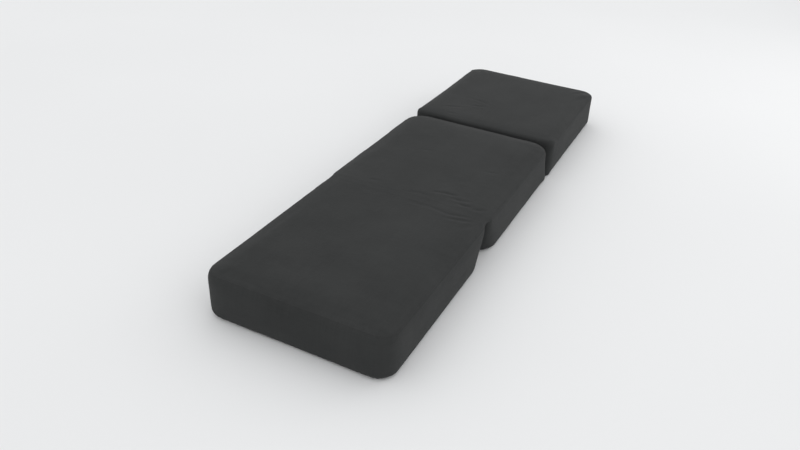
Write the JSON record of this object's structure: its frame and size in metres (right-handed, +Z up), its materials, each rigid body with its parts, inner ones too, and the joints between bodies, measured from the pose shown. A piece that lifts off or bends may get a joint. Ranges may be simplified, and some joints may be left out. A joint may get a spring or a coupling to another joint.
{
  "type": "sofa bed",
  "caption": "Fold-out foam chair bed: three thick foam blocks in a plain cloth cover, joined by cloth hinges that fold in a zigzag, with a zip in each block's side.",
  "frame": {"origin": "on the floor under the middle of the unfolded bed", "axes": "+Y along the bed from its near end to its far end, +X to its right, +Z up"},
  "size_m": [0.5872, 2, 0.157],
  "materials": {
    "cover_cloth": "matte",
    "foam": "matte",
    "zip_tape": "matte",
    "zip_coil": "satin",
    "zip_metal": "satin"
  },
  "bodies": {
    "near": {"near_foam_core": "foam", "near_top_panel": "cover_cloth", "near_boxing": "cover_cloth", "near_bottom_panel": "cover_cloth", "near_zip_tape": "zip_tape", "near_zip_chain": "zip_coil", "near_zip_stops": "zip_metal"},
    "near_slider": {"near_zip_slider": "zip_metal"},
    "near_pull": {"near_zip_pull": "zip_metal"},
    "middle": {"middle_foam_core": "foam", "middle_top_panel": "cover_cloth", "middle_boxing": "cover_cloth", "middle_bottom_panel": "cover_cloth", "middle_zip_tape": "zip_tape", "middle_zip_chain": "zip_coil", "middle_zip_stops": "zip_metal", "near_hinge_cloth": "cover_cloth", "far_hinge_cloth": "cover_cloth"},
    "middle_slider": {"middle_zip_slider": "zip_metal"},
    "middle_pull": {"middle_zip_pull": "zip_metal"},
    "far": {"far_foam_core": "foam", "far_top_panel": "cover_cloth", "far_boxing": "cover_cloth", "far_bottom_panel": "cover_cloth", "far_zip_tape": "zip_tape", "far_zip_chain": "zip_coil", "far_zip_stops": "zip_metal"},
    "far_slider": {"far_zip_slider": "zip_metal"},
    "far_pull": {"far_zip_pull": "zip_metal"}
  },
  "joints": [
    {"name": "fold_near", "type": "hinge", "parent": "middle", "child": "near", "pos_m": [0, -0.33333, 0.1573], "axis": [-1, 0, 0], "range_deg": [-16, 180], "deforming": ["near_hinge_cloth"]},
    {"name": "fold_far", "type": "hinge", "parent": "middle", "child": "far", "pos_m": [0, 0.33333, -0.0003], "axis": [-1, 0, 0], "range_deg": [-6.5, 180], "deforming": ["far_hinge_cloth"]},
    {"name": "near_zip", "type": "slide", "parent": "near", "child": "near_slider", "axis": [0, -1, 0], "range_m": [0, 0.49607], "deforming": ["near_zip_chain"]},
    {"name": "near_pull_swing", "type": "hinge", "parent": "near_slider", "child": "near_pull", "pos_m": [-0.2942, -0.41938, 0.0705], "axis": [0, 0, -1], "range_deg": [0, 175]},
    {"name": "middle_zip", "type": "slide", "parent": "middle", "child": "middle_slider", "axis": [0, -1, 0], "range_m": [0, 0.49607], "deforming": ["middle_zip_chain"]},
    {"name": "middle_pull_swing", "type": "hinge", "parent": "middle_slider", "child": "middle_pull", "pos_m": [-0.2942, 0.24778, 0.0705], "axis": [0, 0, -1], "range_deg": [0, 175]},
    {"name": "far_zip", "type": "slide", "parent": "far", "child": "far_slider", "axis": [0, -1, 0], "range_m": [0, 0.49607], "deforming": ["far_zip_chain"]},
    {"name": "far_pull_swing", "type": "hinge", "parent": "far_slider", "child": "far_pull", "pos_m": [-0.2942, 0.9157, 0.0705], "axis": [0, 0, -1], "range_deg": [0, 175]}
  ]
}
